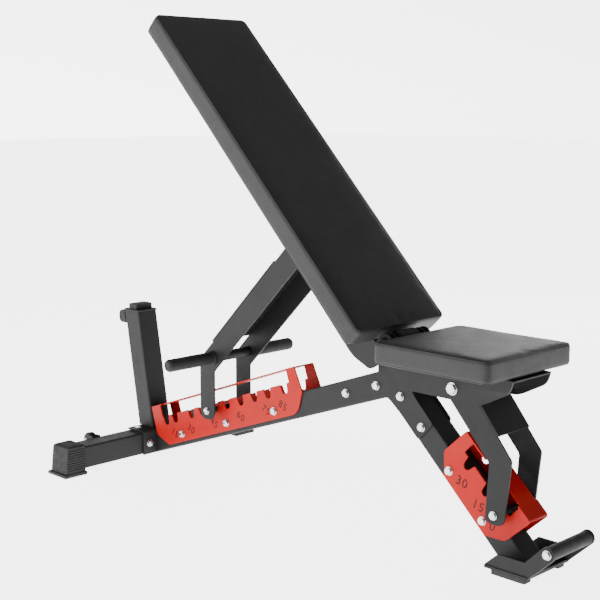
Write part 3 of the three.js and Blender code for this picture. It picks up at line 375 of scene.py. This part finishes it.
def hexagon(bm, radius, low, high, chamfer):
    """A hexagonal head along Y from low to high, with its corners rounded off at the high end."""
    sides = 6
    facets = 5
    outer = []
    for i in range(sides * facets):
        angle = 2 * math.pi * i / (sides * facets)
        within = (angle % (math.pi / 3)) - math.pi / 6
        reach = radius * math.cos(math.pi / 6) / math.cos(within)
        outer.append((angle, reach))
    flat = radius * math.cos(math.pi / 6)
    back = -chamfer if high > low else chamfer
    levels = [(low, lambda r: r),
              (high + back * 1.3, lambda r: r - (r - flat) * 0.15),
              (high + back * 0.5, lambda r: flat + (r - flat) * 0.35),
              (high, lambda r: flat - chamfer * 0.9)]
    rings = []
    for along, shrink in levels:
        ring = []
        for angle, reach in outer:
            r = shrink(reach)
            ring.append(bm.verts.new((r * math.cos(angle), along, r * math.sin(angle))))
        rings.append(ring)
    count = len(outer)
    for first, second in zip(rings, rings[1:]):
        for i in range(count):
            j = (i + 1) % count
            bm.faces.new((first[i], first[j], second[j], second[i]))
    bm.faces.new(rings[0])
    bm.faces.new(rings[-1])


def bolt(name, centre, half, radius, thickness, body, shank, ends=(1, -1), turn=Matrix(),
         material="bright_steel"):
    """A through bolt along Y: a washer and a chamfered head on -Y, a washer, nut and thread end on +Y."""
    bm = bmesh.new()
    reach = half + thickness * 0.2
    lathe(bm, [(0, -reach), (shank, -reach), (shank, reach), (0, reach)], 24)
    for end in ends:
        washer = radius * 1.08
        rim = 1.1 * MM
        base = end * half
        lathe(bm, [(0, base), (washer - 0.2 * MM, base), (washer, base + end * 0.3 * MM),
                   (washer, base + end * (rim - 0.4 * MM)), (washer - 0.4 * MM, base + end * rim),
                   (0, base + end * rim)], 32)
        hexagon(bm, radius * 0.93, base + end * rim * 0.98, base + end * thickness, thickness * 0.16)
        if end > 0:
            tip = base + end * (thickness + 1.2 * MM)
            lathe(bm, [(0, base + thickness * 0.9), (shank * 0.95, base + thickness * 0.9),
                       (shank * 0.95, tip - 0.6 * MM), (shank * 0.75, tip), (0, tip)], 24)
        else:
            dish = base + end * thickness
            lathe(bm, [(0, dish - end * 0.1 * MM), (radius * 0.5, dish - end * 0.1 * MM),
                       (radius * 0.44, dish + end * 0.25 * MM), (0, dish + end * 0.25 * MM)], 24)
    stand = Matrix.Translation(centre) @ turn
    return place(name, mesh_of(bm, name), material, body, matrix=stand, smooth=28)


def middle(node):
    low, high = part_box(node)
    return (Vector(low) + Vector(high)) / 2


def half_width(node):
    low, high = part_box(node)
    return (high[1] - low[1]) / 2


def replace_bolts():
    """Bolts with washers, heads and nuts in place of the plain CAD ones, and rods between the pins."""
    # radius of the head, its thickness, and radius of the shank, in mm
    sizes = {
        "knee_": (9.5, 6, 5), "rear_ladder_bolt": (9.5, 6, 5), "front_ladder_bolt": (9.5, 6, 5),
        "carry_handle_bolt": (9.5, 6, 5), "main_axle": (14, 8, 8), "back_support_pivot_bolt": (13, 7, 7),
        "seat_support_pivot_bolt": (13, 7, 7), "wheel_axle": (7.5, 5, 4),
    }
    for node, body in BODY_OF.items():
        found = [size for key, size in sizes.items() if node.startswith(key)]
        if not found or node.startswith("knee_plate"):
            continue
        radius, thickness, shank = (value * MM for value in found[0])
        half = half_width(node) - thickness
        material = "frame_paint" if node == "main_axle" else "bright_steel"
        piece = bolt(node + "_detail", middle(node), half, radius, thickness, body, shank,
                     material=material)
        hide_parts(node)
    spacer = bmesh.new()
    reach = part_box("back_channel")[1][1] - 4.5 * MM
    lathe(spacer, [(0, -reach), (19.4 * MM, -reach), (20 * MM, 0.6 * MM - reach),
                   (20 * MM, reach - 0.6 * MM), (19.4 * MM, reach), (0, reach)], 40)
    mesh = mesh_of(spacer, "back_support_spacer")
    place("back_support_spacer", mesh, "frame_paint", "back_support_pivot",
          matrix=Matrix.Translation(middle("back_support_pivot_bolt")))
    for side in ("left", "right"):
        sign = 1 if side == "left" else -1
        for kind in ("saddle_top_bolt", "saddle_front_bolt"):
            node = f"{kind}_{side}"
            low, high = (Vector(corner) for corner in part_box(node))
            centre = (low + high) / 2
            if "top" in kind:
                seat = Vector((centre.x, centre.y, high.z - 6 * MM))
                turn = Matrix.Rotation(math.radians(-90), 4, "X")
            else:
                seat = Vector((high.x - 6 * MM, centre.y, centre.z))
                turn = Matrix.Rotation(math.radians(90), 4, "Z")
            piece = bolt(node + "_detail", seat, 0, 9.5 * MM, 6 * MM, "frame", 5 * MM, (-1,), turn)
            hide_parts(node)
        thickness = 5 * MM
        for prefix in ("back_support", "seat_support"):
            node = f"{prefix}_pin_{side}"
            low, high = (Vector(corner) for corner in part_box(node))
            centre = (low + high) / 2
            outer = high.y if sign > 0 else low.y
            seat = Vector((centre.x, outer - sign * thickness, centre.z))
            turn = Matrix() if sign < 0 else Matrix.Rotation(math.pi, 4, "Z")
            piece = bolt(node + "_head", seat, 0, 9 * MM, thickness, BODY_OF[node], 5 * MM, (-1,), turn)
            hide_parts(node)
            bm = bmesh.new()
            tip = outer - sign * (thickness + 4 * MM)
            lathe(bm, [(0, 0), (8 * MM, 0), (8 * MM, tip), (0, tip)], 32)
            name = f"{prefix}_rod_{side}"
            place(name, mesh_of(bm, name), "frame_paint", BODY_OF[node],
                  matrix=Matrix.Translation((centre.x, 0, centre.z)))


def dress_frame():
    """Every CAD node gets its material and softly rounded edges; its own mesh stays as it is."""
    slots = {part["node"]: part["material_slot"] for part in RECORD["subparts"]}
    for node, piece in NODES.items():
        piece.data.materials.clear()
        piece.data.materials.append(MATERIALS[slots[node]])
        weld = piece.modifiers.new("weld", "WELD")
        weld.merge_threshold = 0.00002
        flat = piece.modifiers.new("flat", "DECIMATE")
        flat.decimate_type = "DISSOLVE"
        flat.angle_limit = math.radians(0.8)
        round_off = piece.modifiers.new("round", "BEVEL")
        round_off.width = 0.0009 if slots[node] != "rubber" else 0.0014
        round_off.segments = 2
        round_off.limit_method = "ANGLE"
        round_off.angle_limit = math.radians(40)
        round_off.use_clamp_overlap = True
        round_off.harden_normals = False


# ---------------------------------------------------------------- small hardware
def axle_bushes():
    """Plastic washers that fill the gaps between the plates and channels on the main axle."""
    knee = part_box("knee_plate_left")[1][1]
    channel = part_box("back_channel")[1][1]
    seat_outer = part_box("seat_channel")[1][1]
    gaps = [("back_hinge_bush", knee + WASHER_GAP, channel - BACK_CHEEK - WASHER_GAP, "back_sleeve"),
            ("seat_hinge_bush", channel + WASHER_GAP, seat_outer - SEAT_CHEEK - WASHER_GAP, "seat")]
    for name, inner, outer, body in gaps:
        for side, sign in (("left", 1), ("right", -1)):
            bm = bmesh.new()
            profile = [(9 * MM, inner), (12.4 * MM, inner), (13 * MM, inner + 0.6 * MM),
                       (13 * MM, outer - 0.6 * MM), (12.4 * MM, outer), (9 * MM, outer), (9 * MM, inner)]
            lathe(bm, [(r, sign * y) for r, y in profile], 36)
            mesh = mesh_of(bm, f"{name}_{side}")
            place(f"{name}_{side}", mesh, "wheel_plastic", body, matrix=Matrix.Translation(AXLE))


def tube_loop(name, points, radius, material, body, matrix, sides=8):
    """A thin round bead along a closed chain of points."""
    bm = bmesh.new()
    rings = []
    count = len(points)
    up = Vector((0, 0, 1))
    for i, point in enumerate(points):
        along = (points[(i + 1) % count] - points[i - 1]).normalized()
        side = along.cross(up)
        side = side.normalized() if side.length > 1e-4 else Vector((1, 0, 0))
        over = side.cross(along)
        ring = []
        for k in range(sides):
            angle = 2 * math.pi * k / sides
            outward = math.cos(angle) * side + math.sin(angle) * over
            ring.append(bm.verts.new(point + radius * outward))
        rings.append(ring)
    for first, second in zip(rings, rings[1:] + rings[:1]):
        for k in range(sides):
            m = (k + 1) % sides
            bm.faces.new((first[k], first[m], second[m], second[k]))
    return place(name, mesh_of(bm, name), material, body, matrix=matrix, smooth=60)


# ---------------------------------------------------------------- numerals on the ladders
def numeral(name, text, size, centre, turn, side, lean):
    """A plain angle number on a ladder's cheek, as lettering 0.16 mm thick that is read from outside."""
    curve = bpy.data.curves.new(name, "FONT")
    curve.body = text
    curve.size = size
    curve.align_x = "CENTER"
    curve.align_y = "CENTER"
    curve.extrude = 0.08 * MM
    curve.resolution_u = 4
    curve.space_character = 1.12
    holder = bpy.data.objects.new(name + "_text", curve)
    bpy.context.scene.collection.objects.link(holder)
    bpy.context.view_layer.update()
    mesh = bpy.data.meshes.new_from_object(holder.evaluated_get(bpy.context.evaluated_depsgraph_get()))
    bpy.data.objects.remove(holder)
    stand = Matrix.Rotation(math.radians(lean), 4, "Y") @ Matrix.Rotation(math.radians(90), 4, "X")
    if side > 0:
        stand = Matrix.Rotation(math.pi, 4, "Z") @ stand
    mesh.transform(stand)
    mesh.name = name
    place(name, mesh, INK, "frame",
          matrix=turn @ Matrix.Translation((centre[0] * MM, side * LETTER_PLANE, centre[1] * MM)), smooth=0)


def ladder_numerals():
    rear = (("15", 72), ("30", 145), ("45", 246), ("60", 357), ("75", 458), ("85", 522))
    front = (("30", 230), ("15", 292), ("0", 345))
    for side, sign in (("left", 1), ("right", -1)):
        for text, u in rear:
            numeral(f"rear_numeral_{text}_{side}", text, 0.028, (u, 39), BEAM_TURN, sign, sign * -44)
        for text, s in front:
            numeral(f"front_numeral_{text}_{side}", text, 0.03, (s, 37.5), LEG_TURN, sign, sign * 27)


# ---------------------------------------------------------------- pads
def pad_box(node, turn):
    """The lowest and highest corner of a pad in its own level frame."""
    back = turn.inverted()
    points = [back @ vertex.co for vertex in NODES[node].data.vertices]
    low = Vector([min(p[i] for p in points) for i in range(3)])
    high = Vector([max(p[i] for p in points) for i in range(3)])
    return low, high


def corner_outline(low, high, corner, inset, steps=8):
    """Points round a rectangle with rounded corners, anticlockwise, drawn in by inset."""
    r = max(corner - inset, 0.002)
    x0, x1 = low.x + inset, high.x - inset
    y0, y1 = low.y + inset, high.y - inset
    centres = ((x1 - r, y0 + r, -90), (x1 - r, y1 - r, 0), (x0 + r, y1 - r, 90), (x0 + r, y0 + r, 180))
    points = []
    for cx, cy, start in centres:
        for k in range(steps + 1):
            angle = math.radians(start + 90 * k / steps)
            points.append((cx + r * math.cos(angle), cy + r * math.sin(angle)))
    return points


def pad_shell(name, low, high, corner, shrink, edge):
    """A closed cushion: rings of its outline climb from the underside over the sides to the flat top."""
    bm = bmesh.new()
    height = high.z - low.z - 2 * shrink
    base = low.z + shrink
    levels = [(edge * 0.55, 0.0), (0.0, 3 * MM), (0.0, height * 0.5), (0.0, height - edge),
              (edge * 0.3, height - edge * 0.3), (edge, height)]
    rings = []
    for inset, level in levels:
        outline = corner_outline(low, high, corner, inset + shrink)
        rings.append([bm.verts.new((x, y, base + level)) for x, y in outline])
    for first, second in zip(rings, rings[1:]):
        for i in range(len(first)):
            j = (i + 1) % len(first)
            bm.faces.new((first[i], first[j], second[j], second[i]))
    bm.faces.new(list(reversed(rings[0])))
    bm.faces.new(rings[-1])
    return mesh_of(bm, name)


def simulate(piece, frames, pressure, cap):
    """Lets the cover swell under pressure, then holds every point within cap of where it began."""
    scene = bpy.context.scene
    start = [vertex.co.copy() for vertex in piece.data.vertices]
    cloth = piece.modifiers.new("cloth", "CLOTH")
    settings = cloth.settings
    settings.use_pressure = True
    settings.uniform_pressure_force = pressure
    settings.effector_weights.gravity = 0
    settings.quality = 5
    settings.tension_stiffness = 30
    settings.compression_stiffness = 30
    settings.bending_stiffness = 4
    cloth.point_cache.frame_start = 1
    cloth.point_cache.frame_end = frames
    for step in range(1, frames + 1):
        scene.frame_set(step)
    graph = bpy.context.evaluated_depsgraph_get()
    swollen = [vertex.co.copy() for vertex in piece.evaluated_get(graph).data.vertices]
    piece.modifiers.remove(cloth)
    scene.frame_set(1)
    for vertex, first, last in zip(piece.data.vertices, start, swollen):
        move = last - first
        if move.length > cap:
            move *= cap / move.length
        vertex.co = first + move


def build_pad(name, node, body, turn, corner, voxel):
    """A simulated cushion with its seams, in place of a plain CAD pad."""
    low, high = pad_box(node, turn)
    mesh = pad_shell(name, low, high, corner, PAD_SHRINK, PAD_EDGE)
    piece = bpy.data.objects.new(name, mesh)
    bpy.context.scene.collection.objects.link(piece)
    remesh = piece.modifiers.new("remesh", "REMESH")
    remesh.mode = "VOXEL"
    remesh.voxel_size = voxel
    graph = bpy.context.evaluated_depsgraph_get()
    fine = bpy.data.meshes.new_from_object(piece.evaluated_get(graph))
    piece.modifiers.clear()
    piece.data = fine
    simulate(piece, SWELL_FRAMES, SWELL_PRESSURE, SWELL_CAP)
    fill_box(piece, low, high)
    crown_pad(piece, low, high)
    skin = BVHTree.FromPolygons([vertex.co for vertex in piece.data.vertices],
                                [polygon.vertices for polygon in piece.data.polygons])
    subdivide = piece.modifiers.new("fine", "SUBSURF")
    subdivide.levels = subdivide.render_levels = 1
    piece.data.materials.append(MATERIALS["pad_vinyl"])
    piece.data.shade_smooth()
    piece.data.transform(turn)
    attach(piece, body)
    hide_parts(node)
    add_seams(name, skin, low, high, corner, body, turn)


def fill_box(piece, low, high):
    """Stretches the piece until it reaches every side of its box again."""
    points = [vertex.co for vertex in piece.data.vertices]
    least = [min(point[i] for point in points) for i in range(3)]
    most = [max(point[i] for point in points) for i in range(3)]
    for vertex in piece.data.vertices:
        for i in range(3):
            share = (vertex.co[i] - least[i]) / (most[i] - least[i])
            vertex.co[i] = low[i] + share * (high[i] - low[i])


def crown_pad(piece, low, high):
    """Lowers the top towards its rim, which leaves a low crown."""
    centre = (low + high) / 2
    half = (high - low) / 2
    for vertex in piece.data.vertices:
        co = vertex.co
        across = abs(co.x - centre.x) / half.x
        beside = abs(co.y - centre.y) / half.y
        if co.z > high.z - TOP_BAND:
            co.z -= CROWN * (across ** 6 + beside ** 4) / 2


def add_seams(name, skin, low, high, corner, body, turn):
    """A welt runs round the pad just under its top edge and a hem round its underside, each half sunk."""
    for tag, level, inset, radius in (("welt", high.z - 2.6 * MM, 1.7 * MM, 1.5 * MM),
                                      ("hem", low.z + 3.2 * MM, 0.9 * MM, 0.9 * MM)):
        outline = corner_outline(low, high, corner, inset)
        points = []
        count = len(outline)
        for i in range(count):
            a, b = Vector((*outline[i], level)), Vector((*outline[(i + 1) % count], level))
            cuts = max(1, int((b - a).length / SEAM_STEP))
            for k in range(cuts):
                spot, outward, _, _ = skin.find_nearest(a.lerp(b, k / cuts))
                points.append(spot - outward * radius * SEAM_SINK)
        tube_loop(f"{name}_{tag}", points, radius, "pad_vinyl", body, turn)


def main():
    make_camera()
    make_studio()
    dress_frame()
    replace_bolts()
    axle_bushes()
    ladder_numerals()
    build_pad("backrest_cushion", "back_pad", "backrest", BACK_TURN, PAD_CORNER, PAD_VOXEL)
    build_pad("seat_cushion", "seat_pad", "seat", Matrix(), PAD_CORNER, PAD_VOXEL)


main()
